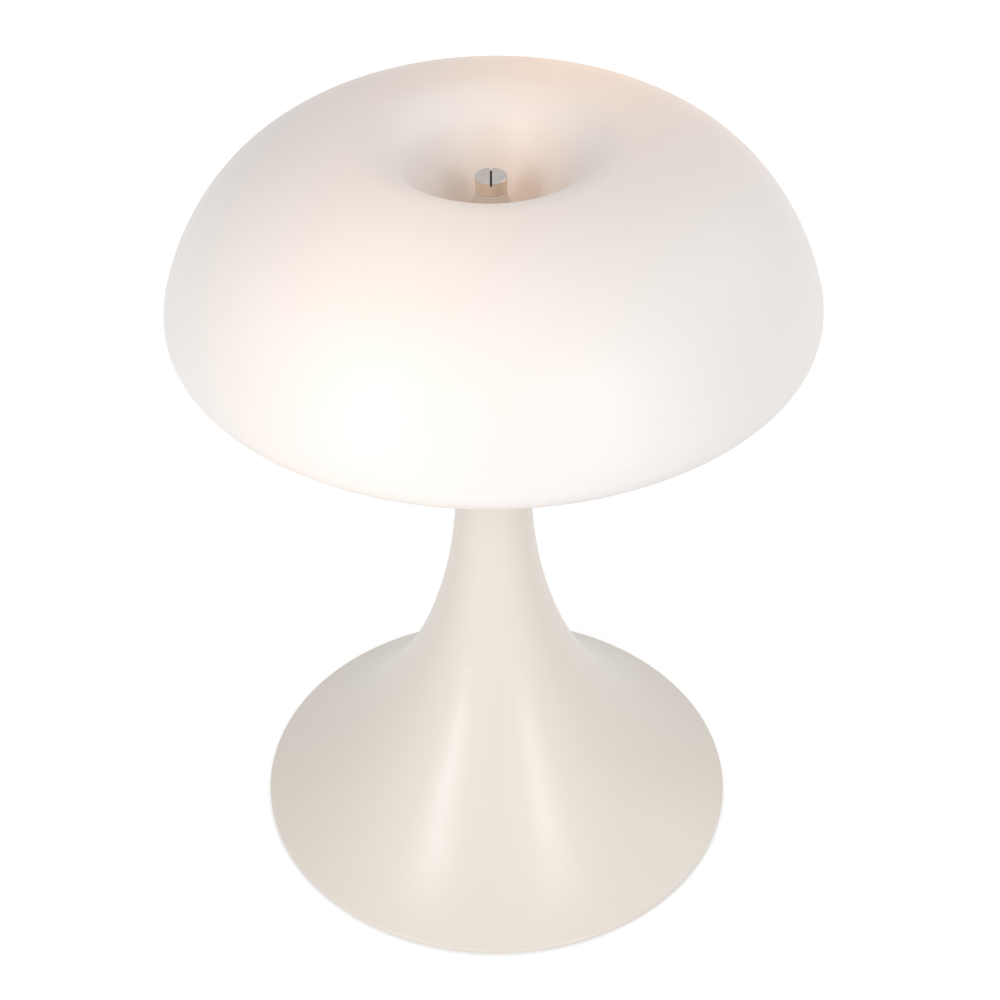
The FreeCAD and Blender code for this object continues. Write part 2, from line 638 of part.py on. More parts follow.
def make_foot_ring():
    """The rubber ring that the lamp stands on, stuck under the plate."""
    inner = foot_radius - size["foot_width"]
    round_edge = size["foot_thickness"] / 3
    return keep(turned("foot_ring", [
        (inner + round_edge, 0), (foot_radius - round_edge, 0),
        (foot_radius, round_edge, round_edge, 1), (foot_radius, size["foot_thickness"]),
        (inner, size["foot_thickness"]), (inner, round_edge)]))


def make_ballast():
    """The cast weight, with its drafted side, nut recess, cable channel and three tapped holes."""
    shoulder = size["ballast_radius"] - size["ballast_taper"]
    edge = size["ballast_taper"] / 2
    bore = size["stem_radius"] + fit_gap
    body = turned("ballast_weight", [
        (recess_radius, plate_top), (size["ballast_radius"], plate_top),
        (shoulder, ballast_top - edge), (shoulder - edge, ballast_top, edge, 1),
        (bore, ballast_top), (bore, recess_top), (recess_radius, recess_top)])
    channel = new_sketch(body, "cable_channel", "XZ_Plane")
    half = size["cable_radius"] + size["channel_gap"]
    draw_rectangle(channel, -half, plate_top - size["cut_overrun"], half, cable_height + half)
    pocket(body, channel, size["ballast_radius"] + size["cut_overrun"],
           reverse=BACK_POCKET_REVERSED)
    holes = new_sketch(body, "ballast_screw_holes", "XY_Plane")
    draw_circle(holes, plate_screw_circle, 0, size["plate_screw_radius"] + running_gap)
    depth = plate_bottom + size["plate_screw_length"] + size["cut_overrun"]
    cut = pocket(body, holes, depth, reverse=UP_POCKET_REVERSED)
    around(body, holes, [cut], size["plate_screw_count"])
    return keep(body)


def make_plate_screws():
    """The pan-head screws, heads under the plate and inside the foot's height."""
    shank = size["plate_screw_radius"]
    head = size["plate_screw_head_radius"]
    drop = size["plate_screw_head_height"]
    shank_end = size["plate_screw_length"]
    count = int(size["plate_screw_count"].value)
    screws = []
    for number in range(count):
        screw = turned("plate_screw_" + str(number + 1), [
            (0, -drop), (head - drop / 2, -drop), (head, -drop / 2, drop / 2, 1), (head, 0),
            (shank, 0), (shank, shank_end - size["lead_in"]),
            (shank - size["edge_break"], shank_end), (0, shank_end)])
        slot = new_sketch(screw, "plate_screw_slot_" + str(number + 1), "XY_Plane", -drop)
        half = size["driver_slot"] / 2
        draw_rectangle(slot, -head, -half, head, half)
        pocket(screw, slot, drop / 2, reverse=UP_POCKET_REVERSED)
        angle = math.radians(360.0 / count * number)
        bind(screw, "Placement.Base.x", plate_screw_circle * math.cos(angle))
        bind(screw, "Placement.Base.y", plate_screw_circle * math.sin(angle))
        bind(screw, "Placement.Base.z", plate_bottom)
        screws.append(screw)
    return keep(group("plate_screws", screws))


# ---------------------------------------------------------------- stem and bracket

def make_stem_tube():
    """The threaded tube that everything is clamped on, with one lead hole for each lampholder."""
    body = turned("stem_tube", [
        (stem_bore, stem_bottom), (size["stem_radius"], stem_bottom),
        (size["stem_radius"], stem_top - size["edge_break"]),
        (size["stem_radius"] - size["edge_break"], stem_top),
        (stem_bore, stem_top)])
    mark = new_sketch(body, "stem_axis_mark", "XY_Plane")
    draw_circle(mark, 0, 0, size["stem_radius"])
    mark.Visibility = False
    hole = new_sketch(body, "lead_hole", "YZ_Plane")
    draw_circle(hole, 0, holder_axis_height, size["lead_hole_radius"])
    cut = pocket(body, hole, size["stem_radius"] + size["cut_overrun"],
                 reverse=SIDE_POCKET_REVERSED)
    around(body, mark, [cut], holder_count)
    turn = FreeCAD.Rotation(FreeCAD.Vector(0, 0, 1), size["first_holder_angle"].value)
    body.Placement = FreeCAD.Placement(FreeCAD.Vector(0, 0, 0), turn)
    return keep(body)


def make_stem_hardware():
    bore = size["stem_radius"] + running_gap
    keep(hex_nut("stem_bottom_nut", size["nut_across_flats"], bore, size["nut_thickness"]),
         bottom_nut_bottom)
    keep(ring("stem_bottom_washer", bore, size["washer_radius"], bottom_nut_top, recess_top))
    keep(ring("bracket_washer", bore, size["washer_radius"], bracket_top, bracket_nut_bottom))
    keep(hex_nut("bracket_nut", size["nut_across_flats"], bore, size["nut_thickness"]),
         bracket_nut_bottom)
    keep(hex_nut("gallery_nut", size["nut_across_flats"], bore, size["nut_thickness"]),
         gallery_nut_bottom)


def make_neck_cap():
    """The turned plug that closes the neck and centres the stem."""
    bore = size["stem_radius"] + running_gap
    neck = size["neck_radius"]
    shoulder = size["neck_top_height"]
    bottom = shoulder - size["cap_spigot"]
    spigot = neck - size["shell_wall"] - running_gap * 2
    round_edge = size["cap_rounding"]
    lead = size["lead_in"]
    return keep(turned("neck_cap", [
        (bore, bottom), (spigot - lead, bottom), (spigot, bottom + lead), (spigot, shoulder),
        (neck, shoulder), (neck, cap_top - round_edge),
        (neck - round_edge, cap_top, round_edge, 1), (bore, cap_top)]))


def make_holder_bracket():
    """A pressed spider: a hub, and one bent-up ear for each lampholder."""
    body = new_body("holder_bracket")
    hub = new_sketch(body, "bracket_hub", "XY_Plane", cap_top)
    draw_circle(hub, 0, 0, size["bracket_hub_radius"])
    draw_circle(hub, 0, 0, size["stem_radius"] + running_gap)
    pad(body, hub, size["bracket_sheet"])
    sheet_gauge = size["bracket_sheet"]
    bend = size["bracket_bend"]
    ear_end = holder_axis_height + size["ear_top"]
    start = size["bracket_hub_radius"] - size["arm_root"]
    arm = new_sketch(body, "bracket_arm", "XZ_Plane")
    draw(arm, [
        (start, cap_top), (ear_outer - bend - sheet_gauge, cap_top),
        (ear_outer, cap_top + bend + sheet_gauge, bend + sheet_gauge, 1), (ear_outer, ear_end),
        (size["ear_reach"], ear_end), (size["ear_reach"], bracket_top + bend),
        (size["ear_reach"] - bend, bracket_top, bend, -1), (start, bracket_top)])
    arm_pad = pad(body, arm, size["arm_width"], midplane=True)
    hole = new_sketch(body, "ear_hole", "YZ_Plane")
    draw_circle(hole, 0, holder_axis_height, size["nipple_radius"] + running_gap * 2)
    cut = pocket(body, hole, ear_outer + size["cut_overrun"], reverse=SIDE_POCKET_REVERSED)
    around(body, hub, [arm_pad, cut], holder_count)
    turn = FreeCAD.Rotation(FreeCAD.Vector(0, 0, 1), size["first_holder_angle"].value)
    body.Placement = FreeCAD.Placement(FreeCAD.Vector(0, 0, 0), turn)
    return keep(body)


# ---------------------------------------------------------------- lampholders and bulbs

def make_nipples():
    nut_top = size["ear_reach"]
    start = nut_top - size["nipple_nut_thickness"] - size["nipple_tail"]
    end = ear_outer + size["holder_thread_depth"]
    nipples = []
    nuts = []
    for number in range(int(holder_count.value)):
        name = str(number + 1)
        nipples.append(aim(ring("nipple_" + name, size["nipple_bore"], size["nipple_radius"],
                                start, end), number))
        nut = hex_nut("nipple_nut_" + name, size["nipple_nut_flats"],
                      size["nipple_radius"] + running_gap, size["nipple_nut_thickness"])
        reach = size["ear_reach"] - size["nipple_nut_thickness"]
        aim(nut, number)
        angle = math.radians(size["first_holder_angle"].value + 360.0 / holder_count.value * number)
        bind(nut, "Placement.Base.x", reach * math.cos(angle))
        bind(nut, "Placement.Base.y", reach * math.sin(angle))
        nuts.append(nut)
    keep(group("holder_nipples", nipples))
    keep(group("holder_nuts", nuts))


def make_lampholder(number):
    """One moulded holder: domed back, skirt with a bead, brass screw shell and centre contact."""
    name = str(number + 1)
    thread = size["nipple_radius"] + running_gap
    dome = size["holder_radius"]
    edge = size["holder_rounding"]
    chamber = dome - size["holder_wall"]
    seat = ear_outer + size["holder_thread_depth"]
    keep(aim(turned("lampholder_dome_" + name, [
        (thread, ear_outer), (dome - edge, ear_outer), (dome, ear_outer + edge, edge, 1),
        (dome, dome_end), (chamber, dome_end), (chamber, seat), (thread, seat)]), number))
    contact = size["contact_radius"]
    contact_bore = contact + running_gap
    web_back = dome_end - size["lead_in"]
    spigot = chamber - running_gap * 2
    spigot_end = dome_end - size["skirt_spigot"]
    skirt = size["skirt_radius"]
    bore = size["skirt_bore"]
    collar_end = dome_end + size["skirt_collar"]
    bead = size["skirt_bead"]
    bead_start = skirt_end - size["skirt_bead_length"]
    keep(aim(turned("lampholder_skirt_" + name, [
        (bore, spigot_end), (spigot, spigot_end), (spigot, dome_end), (dome, dome_end),
        (dome, collar_end), (skirt, collar_end + size["lead_in"]),
        (skirt, bead_start - bead), (skirt + bead, bead_start), (skirt + bead, skirt_end - bead),
        (skirt, skirt_end, bead, 1), (bore, skirt_end), (bore, skirt_web),
        (contact_bore, skirt_web), (contact_bore, web_back), (bore, web_back)]), number))
    shell = size["screw_shell_radius"]
    inner = shell - size["screw_shell_wall"]
    flange = shell - size["screw_shell_seat"]
    flare = size["screw_shell_flare"]
    mouth = screw_shell_end - size["lead_in"]
    shell_floor = skirt_web + size["screw_shell_wall"]
    keep(aim(turned("lampholder_shell_" + name, [
        (flange, skirt_web), (shell, skirt_web), (shell, mouth), (shell + flare, screw_shell_end),
        (inner + flare, screw_shell_end), (inner, mouth), (inner, shell_floor),
        (flange, shell_floor)]), number))
    tail = dome_end - size["contact_tail"]
    head = contact + size["contact_head_height"]
    edge = size["edge_break"]
    keep(aim(turned("lampholder_contact_" + name, [
        (0, tail), (contact, tail), (contact, skirt_web), (head, skirt_web),
        (head, contact_head - edge), (head - edge, contact_head, edge, 1),
        (0, contact_head)]), number))


def make_bulb(number):
    """One golf-ball bulb: blown glass, pressed screw cap, and the contact in its insulator."""
    name = str(number + 1)
    ball = size["bulb_radius"]
    glass = size["bulb_glass"]
    neck = size["bulb_neck_radius"]
    neck_start = bulb_cap_end - size["bulb_neck_tail"]
    cove = size["bulb_cove"]
    cove_angle = size["bulb_cove_angle"]
    ball_foot_radius = ball * sine(cove_angle)
    ball_foot = bulb_centre - ball * cosine(cove_angle)
    inner_foot_radius = (ball - glass) * sine(cove_angle)
    inner_foot = bulb_centre - (ball - glass) * cosine(cove_angle)
    keep(aim(turned("bulb_glass_" + name, [
        (neck - glass, neck_start), (neck, neck_start), (neck, bulb_cap_end),
        (ball_foot_radius, ball_foot, cove, -1),
        (ball, bulb_centre, ball, 1), (0, bulb_end, ball, 1), (0, bulb_end - glass),
        (ball - glass, bulb_centre, ball - glass, -1),
        (inner_foot_radius, inner_foot, ball - glass, -1),
        (neck - glass, bulb_cap_end, cove + glass, 1)]), number))
    cap = size["bulb_cap_radius"]
    wall = size["bulb_cap_wall"]
    cone = size["bulb_cap_cone"]
    edge = size["bulb_cap_edge"]
    tip = cap - size["bulb_tip_margin"]
    cone_inside = bulb_cap_start + wall * 2
    keep(aim(turned("bulb_cap_" + name, [
        (cap - cone, bulb_cap_start), (cap, bulb_cap_start + cone), (cap, bulb_cap_end - edge),
        (cap - edge, bulb_cap_end), (neck + running_gap, bulb_cap_end),
        (neck + running_gap, neck_start - wall), (cap - wall - cone, cone_inside),
        (tip, bulb_cap_start + wall), (tip, bulb_cap_start)]), number))
    contact = size["contact_radius"]
    keep(aim(turned("bulb_contact_" + name, [
        (0, bulb_tip), (contact - wall, bulb_tip), (contact, bulb_tip + wall),
        (tip, bulb_cap_start - wall), (tip, bulb_cap_start + wall),
        (0, bulb_cap_start + wall)]), number))


# ---------------------------------------------------------------- wiring and cord bush

def make_terminal_block():
    """A two-pole block: a moulded body with four screw turrets and a wire bore through each pole."""
    body = new_body("terminal_block")
    half_width = size["terminal_width"] / 2
    half_depth = size["terminal_depth"] / 2
    turret_bore = size["turret_radius"] - size["turret_wall"]
    block = new_sketch(body, "terminal_body", "XY_Plane")
    draw_rectangle(block, -half_width, -half_depth, half_width, half_depth)
    pad(body, block, size["terminal_height"])
    turrets = new_sketch(body, "terminal_turrets", "XY_Plane")
    for side_x in (-0.5, 0.5):
        for side_y in (-0.5, 0.5):
            draw_circle(turrets, size["turret_pitch_x"] * side_x, size["turret_pitch_y"] * side_y,
                        size["turret_radius"])
    pad(body, turrets, size["terminal_height"] + size["turret_rise"])
    wires = new_sketch(body, "terminal_wire_bores", "XZ_Plane")
    for side_x in (-0.5, 0.5):
        draw_circle(wires, size["turret_pitch_x"] * side_x, cable_rise,
                    size["lead_radius"] + fit_gap)
    pocket(body, wires, size["terminal_depth"] * 2, midplane=True)
    screw_holes = new_sketch(body, "terminal_screw_holes", "XY_Plane",
                             size["terminal_height"] + size["turret_rise"])
    for side_x in (-0.5, 0.5):
        for side_y in (-0.5, 0.5):
            draw_circle(screw_holes, size["turret_pitch_x"] * side_x,
                        size["turret_pitch_y"] * side_y, turret_bore)
    pocket(body, screw_holes, size["turret_rise"] + size["terminal_screw_sink"])
    fixing = new_sketch(body, "terminal_fixing_hole", "XY_Plane")
    draw_circle(fixing, 0, 0, size["fixing_screw_radius"] + running_gap)
    pocket(body, fixing, size["terminal_height"] * 3, midplane=True)
    bind(body, "Placement.Base.y", terminal_distance)
    keep(body, plate_top)
    screw_radius = turret_bore - running_gap
    screw_foot = plate_top + size["terminal_height"] - size["terminal_screw_sink"]
    screws = []
    for side_x in (-0.5, 0.5):
        for side_y in (-0.5, 0.5):
            screw = turned("terminal_screw_" + str(len(screws) + 1), [
                (0, 0), (screw_radius, 0), (screw_radius, size["terminal_screw_length"]),
                (0, size["terminal_screw_length"])])
            bind(screw, "Placement.Base.x", size["turret_pitch_x"] * side_x)
            bind(screw, "Placement.Base.y", terminal_distance + size["turret_pitch_y"] * side_y)
            bind(screw, "Placement.Base.z", screw_foot)
            screws.append(screw)
    keep(group("terminal_screws", screws))
    shank = size["fixing_screw_radius"]
    head = size["fixing_screw_head_radius"]
    seat = size["terminal_height"]
    head_top = seat + size["fixing_screw_head_height"]
    fixing_screw = turned("terminal_fixing_screw", [
        (0, 0), (shank, 0), (shank, seat), (head, seat),
        (head - size["edge_break"] * 2, head_top, size["fixing_screw_head_bend"], 1),
        (0, head_top)])
    bind(fixing_screw, "Placement.Base.y", terminal_distance)
    keep(fixing_screw, plate_top)


def make_feed_cable():
    """The cable from the terminal block through the ballast's channel and up the stem."""
    start = terminal_distance - size["terminal_depth"] / 2
    bend = size["cable_bend"]
    end = holder_axis_height + size["lead_hole_radius"] * 2
    body = new_body("feed_cable")
    route = new_sketch(body, "cable_route", "YZ_Plane")
    draw(route, [(start, cable_height), (bend, cable_height), (0, cable_height + bend, bend, -1),
                 (0, end)], closed=False)
    section = new_sketch(body, "cable_section", "XZ_Plane", -start)
    draw_circle(section, 0, cable_height, size["cable_radius"])
    pipe = body.newObject("PartDesign::AdditivePipe", "cable_pipe")
    pipe.Profile = section
    pipe.Spine = (route, ["Edge1", "Edge2", "Edge3"])
    keep(body)


def make_holder_leads():
    """The short leads from the cable inside the stem, through the nipples, to the contacts."""
    start = size["cable_radius"] + fit_gap
    end = dome_end - size["contact_tail"]
    leads = []
    for number in range(int(holder_count.value)):
        lead = turned("holder_lead_" + str(number + 1), [
            (0, start), (size["lead_radius"], start), (size["lead_radius"], end), (0, end)])
        leads.append(aim(lead, number))
    keep(group("holder_leads", leads))


def make_cord_bush():
    """The moulded bush for the cord, whose outer lip follows the slope of the flare."""
    envelope_path = flare_path(-size["bush_lip"])
    envelope_end = envelope_path[3]
    envelope = turned("bush_envelope", [(0, envelope_path[0][1])] + envelope_path
                      + [(envelope_end[0], size["rim_gap"]), (0, size["rim_gap"])])
    shell_path = flare_path(as_size(0))
    shell_end = shell_path[3]
    inside_bottom = size["rim_gap"] - size["cut_overrun"]
    inside = turned("bush_shell_inside", [(0, shell_path[0][1])] + shell_path
                    + [(shell_end[0], inside_bottom), (0, inside_bottom)])

    def barrel(label, radius, start, end):
        cylinder = doc.addObject("Part::Cylinder", label)
        bind(cylinder, "Radius", radius)
        bind(cylinder, "Height", end - start)
        cylinder.Placement = FreeCAD.Placement(
            FreeCAD.Vector(0, 0, 0), FreeCAD.Rotation(FreeCAD.Vector(1, 0, 0), -90.0))
        bind(cylinder, "Placement.Base.y", start)
        bind(cylinder, "Placement.Base.z", size["bush_height"])
        return cylinder

    lip_blank = barrel("bush_lip_blank", size["bush_flange_radius"], bush_inner_end,
                       bush_outer_end)
    lip_outer = doc.addObject("Part::Common", "bush_lip_outer")
    lip_outer.Base = lip_blank
    lip_outer.Tool = envelope
    lip = doc.addObject("Part::Cut", "bush_lip_part")
    lip.Base = lip_outer
    lip.Tool = inside
    solid = doc.addObject("Part::MultiFuse", "bush_solid")
    collar_radius = size["bush_radius"] + size["bush_collar_height"]
    solid.Shapes = [lip,
                    barrel("bush_barrel", size["bush_radius"], bush_inner_end, bush_outer_end),
                    barrel("bush_collar_part", collar_radius, bush_inner_end,
                           bush_inner_end + size["bush_collar"])]
    bush = doc.addObject("Part::Cut", "cord_bush")
    bush.Base = solid
    overrun = size["cut_overrun"]
    bush.Tool = barrel("bush_bore_part", size["bush_bore"], bush_inner_end - overrun,
                       bush_outer_end + overrun)
    bush.Label = "cord_bush"
    keep(bush)


# ---------------------------------------------------------------- shade and what clamps it

def on_arc(centre, radius, turn):
    """Point on an arc where the surface has turned by an angle from level."""
    return (centre[0] + radius * sine(turn), centre[1] + radius * cosine(turn))


def make_shade():
    """The opal moulding: dimple, crown, flank and turned-in lip as one thin wall."""
    wall = size["shade_wall"]
    widest = as_size(90.0)
    mouth = size["dimple_mouth_arc"]
    foot = size["dimple_floor_arc"]
    crown = size["crown_arc"]
    flank = size["flank_arc"]
    shoulder = size["shoulder_arc"]
    lip = size["lip_arc"]
    floor_radius = size["dimple_floor_radius"]
    lip_rounding = wall * 0.55
    wall_foot = on_arc(dimple_floor_centre, -foot, -wall_angle)
    wall_head = on_arc(dimple_mouth_centre, mouth, -wall_angle)
    wall_foot_under = on_arc(dimple_floor_centre, -(foot + wall), -wall_angle)
    wall_head_under = on_arc(dimple_mouth_centre, mouth - wall, -wall_angle)
    path = [
        (size["shade_hole"], floor_top),
        (floor_radius, floor_top),
        (*wall_foot, foot, 1),
        wall_head,
        (crown_radius, crown_height, mouth, -1),
        (*on_arc(crown_centre, crown, crown_angle), crown, -1),
        (*on_arc(flank_centre, flank, flank_angle), flank, -1),
        (*on_arc(shoulder_centre, shoulder, widest), shoulder, -1),
        (*on_arc(lip_centre, lip, lip_angle), lip, -1),
        (*on_arc(lip_centre, lip - wall, lip_angle), lip_rounding, -1),
        (*on_arc(lip_centre, lip - wall, widest), lip - wall, 1),
        (*on_arc(shoulder_centre, shoulder - wall, flank_angle), shoulder - wall, 1),
        (*on_arc(flank_centre, flank - wall, crown_angle), flank - wall, 1),
        (crown_radius, crown_height - wall, crown - wall, 1),
        (*wall_head_under, mouth - wall, 1),
        wall_foot_under,
        (floor_radius, floor_under, foot + wall, -1),
        (size["shade_hole"], floor_under)]
    return keep(turned("shade", path))


def make_gallery():
    """The turned plate under the shade, with the spigot that centres it, and its rubber seal."""
    bore = size["stem_radius"] + running_gap
    spigot = size["shade_hole"] - fit_gap
    spigot_top = gallery_top + size["gallery_spigot"]
    plate = size["dimple_floor_radius"]
    lead = size["lead_in"]
    edge = size["edge_break"]
    keep(turned("shade_gallery", [
        (bore, gallery_bottom), (plate - lead, gallery_bottom), (plate, gallery_bottom + lead),
        (plate, gallery_top), (spigot, gallery_top), (spigot, spigot_top - edge),
        (spigot - edge, spigot_top), (bore, spigot_top)]))
    keep(ring("gallery_seal", size["shade_hole"], plate - lead, gallery_top, floor_under))


def make_floor_washer():
    return keep(ring("floor_washer", size["stem_radius"] + fit_gap, size["collar_foot_radius"],
                     floor_top, collar_bottom))


def make_pistil_collar():
    """The opal sleeve that stands in the dimple and carries the finial."""
    bore = size["finial_shank_radius"] + fit_gap
    head = size["finial_radius"]
    foot = size["collar_foot_radius"]
    edge = size["edge_break"]
    return keep(turned("pistil_collar", [
        (bore, collar_bottom), (foot - edge, collar_bottom), (foot, collar_bottom + edge),
        (foot - size["lead_in"], collar_bottom + size["collar_foot_height"]),
        (size["collar_shoulder_radius"], collar_top - size["collar_cove"]),
        (head, collar_top, size["collar_cove_radius"], -1), (bore, collar_top)]))


def make_finial():
    """The slotted metal nut on the stem's end: head, chamfers, slot, and a bored shank."""
    bore = size["stem_radius"] + running_gap
    head = size["finial_radius"]
    edge = size["finial_edge"]
    shank = size["finial_shank_radius"]
    shank_bottom = finial_head_bottom - size["finial_shank"]
    lead = size["edge_break"]
    body = turned("finial", [
        (0, finial_bore_end), (0, finial_top), (head - edge, finial_top), (head, finial_top - edge),
        (head, finial_head_bottom + edge), (head - edge, finial_head_bottom),
        (shank, finial_head_bottom), (shank, shank_bottom + lead), (shank - lead, shank_bottom),
        (bore + lead, shank_bottom), (bore, shank_bottom + lead), (bore, finial_bore_end)])
    slot = new_sketch(body, "finial_slot", "XY_Plane", finial_top)
    half = size["slot_width"] / 2
    reach = head + size["cut_overrun"]
    draw_rectangle(slot, -half, -reach, half, reach)
    pocket(body, slot, size["slot_depth"])
    return keep(body)


def make_finial_washer():
    return keep(ring("finial_washer", size["finial_shank_radius"] + running_gap * 2,
                     size["finial_radius"] - fit_gap, collar_top, finial_head_bottom))


# ---------------------------------------------------------------- build, check and write

make_base_shell()
make_bottom_plate()
make_foot_ring()
make_ballast()
make_plate_screws()
make_stem_tube()
make_stem_hardware()
make_neck_cap()
make_holder_bracket()
make_nipples()
for holder_number in range(int(holder_count.value)):
    make_lampholder(holder_number)
    make_bulb(holder_number)
make_terminal_block()
make_feed_cable()
make_holder_leads()
make_cord_bush()
make_shade()
make_gallery()
make_floor_washer()
make_pistil_collar()
make_finial()
make_finial_washer()
doc.recompute()

failed = [item.Name for item in doc.Objects
          if "Invalid" in item.State or "Error" in item.State]
for piece in parts:
    if piece.Shape.isNull() or not piece.Shape.isValid() or not piece.Shape.Solids:
        failed.append(piece.Label)
if failed:
    raise ValueError("not built: " + ", ".join(failed))

os.makedirs("parts", exist_ok=True)
for piece in parts:
    piece.Shape.exportStep("parts/" + piece.Label + ".step")
    print(piece.Label, len(piece.Shape.Solids), round(piece.Shape.Volume), "mm3")
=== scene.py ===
import json
import math

import bpy
from mathutils import Matrix, Vector

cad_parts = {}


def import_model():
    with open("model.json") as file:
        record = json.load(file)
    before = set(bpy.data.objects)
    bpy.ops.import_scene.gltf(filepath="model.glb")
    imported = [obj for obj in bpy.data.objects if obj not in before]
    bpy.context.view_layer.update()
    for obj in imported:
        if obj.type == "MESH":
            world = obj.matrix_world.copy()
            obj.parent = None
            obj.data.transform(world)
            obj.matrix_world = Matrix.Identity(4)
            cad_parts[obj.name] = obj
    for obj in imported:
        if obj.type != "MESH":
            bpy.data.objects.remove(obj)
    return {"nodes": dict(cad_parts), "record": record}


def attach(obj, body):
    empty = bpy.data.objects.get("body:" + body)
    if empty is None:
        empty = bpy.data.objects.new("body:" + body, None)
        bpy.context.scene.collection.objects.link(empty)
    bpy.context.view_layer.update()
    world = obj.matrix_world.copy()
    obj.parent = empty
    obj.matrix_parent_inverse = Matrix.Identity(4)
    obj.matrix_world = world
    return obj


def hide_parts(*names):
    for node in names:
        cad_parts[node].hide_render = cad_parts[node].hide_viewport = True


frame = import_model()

bpy.context.view_layer.update()
nodes = frame["nodes"]
MM = 0.001
STEM_PITCH = 1.0 * MM                    # of the stem's thread, in metres

# ------------------------------------------------------------------ bulbs and holders, in mm
HOLDER_ANGLES = (-102.0, 18.0, 138.0)    # where the three holders point, in degrees
HOLDER_AXIS = 424.0                      # height of the holders' axes
CAP_SPAN = (47.3, 71.2)                  # where a bulb's screw cap starts and ends on its axis
CAP_RADIUS = 6.95
CAP_STEPS = 72                           # points round a cap
THREAD_PITCH = 2.82
THREAD_DEPTH = 0.55
THREAD_FADE = 1.2                        # length over which the thread grows and dies away
THREAD_INSETS = (2.4, 3.0)               # length without thread at a cap's two ends
THREAD_ROWS = 90
INSULATOR_STEPS = 48
SLEEVE_STEPS = 96

# ------------------------------------------------------------------ the shade's glow, in metres
# Each lobe has a centre and the red, green and blue it adds at LOBE_REACH; it falls with distance.
# This emission is a painted glow for the bulbs' light through the opal, and a dimple share takes it
# down inside the dimple as painted shade.
LOBE_REACH = 0.1
GLOW_LOBES = (((-0.0446, -0.0895, 0.4478), (0.248, 0.150, 0.082)),
              ((0.0422, 0.0907, 0.4550), (0.254, 0.109, 0.012)))
GLOW_BASE = (-0.226, -0.116, -0.034)
# painted shade: less glow inside the dimple, where the recess is shaded
GLOW_DIMPLE_SHADE = (-0.174, -0.079, -0.017)
GLOW_LEAST = (0.012, 0.009, 0.006)
# radii over which the dimple's painted shade fades in
DIMPLE_SHADE_RADII = (0.089, 0.0355)           # where the dimple's own share starts, and is full
BULB_GLOW_SPAN = (0.070, 0.098)          # a bulb's glow grows over these distances from the stem

# ------------------------------------------------------------------ the finial, in metres
FINIAL_TOP = 0.5031
FINIAL_EDGE = 0.0004                     # the eased edge of its top
FLANK_RADIUS = 0.0093
SLOT_HALF_WIDTH = 0.00064
SLOT_REACH = 0.0095
SLOT_FLOOR = 0.5009
RING_PITCH = 0.00022                     # spacing of the rings that a lathe leaves

# ------------------------------------------------------------------ the room, in metres
FLOOR_HALF = 12.0
RIM_RADIUS = 0.1650                      # the base's rim
# painted contact shadow: the floor is lifted less to white in a thin ring at the rim
CONTACT_SHADOW_WIDTH = 0.0016                   # the soft dark line where the rim meets the floor
CONTACT_SHADOW_LEVEL, FLOOR_LEVEL = 0.62, 0.72  # how far the floor is lifted to white, there and beyond
FAR_RADII = (0.5, 1.4)                   # the floor away from the lamp is lifted by FAR_LIFT more
FAR_LIFT = 0.30
FLOOR_SEEN = (0.42, 0.42, 0.42, 1.0)
FLOOR_BOUNCE = (0.80, 0.80, 0.80, 1.0)
WHITE = (1.0, 1.0, 1.0, 1.0)
WORLD_LEVEL = 0.50

# ------------------------------------------------------------------ the camera
CAMERA_PLACE = (0.0, -1.0856, 1.1276)    # in metres
CAMERA_PITCH, CAMERA_YAW, CAMERA_ROLL = 37.868, -2.175, -1.803    # in degrees
CAMERA_LENS = 76.10                      # in millimetres, on Blender's 36 mm sensor
CAMERA_SHIFT = (0.070, -0.0275)
CAMERA_CLIP = (0.05, 60.0)


# ------------------------------------------------------------------ node helpers
NOISE_RANGE = (0.3, 0.7)                 # where nearly all of a noise's values lie
BROAD_GRAIN = 14                         # a plain finish's two shades are this much coarser
GLOSS_SPREAD = 0.05                      # how far its roughness strays each way


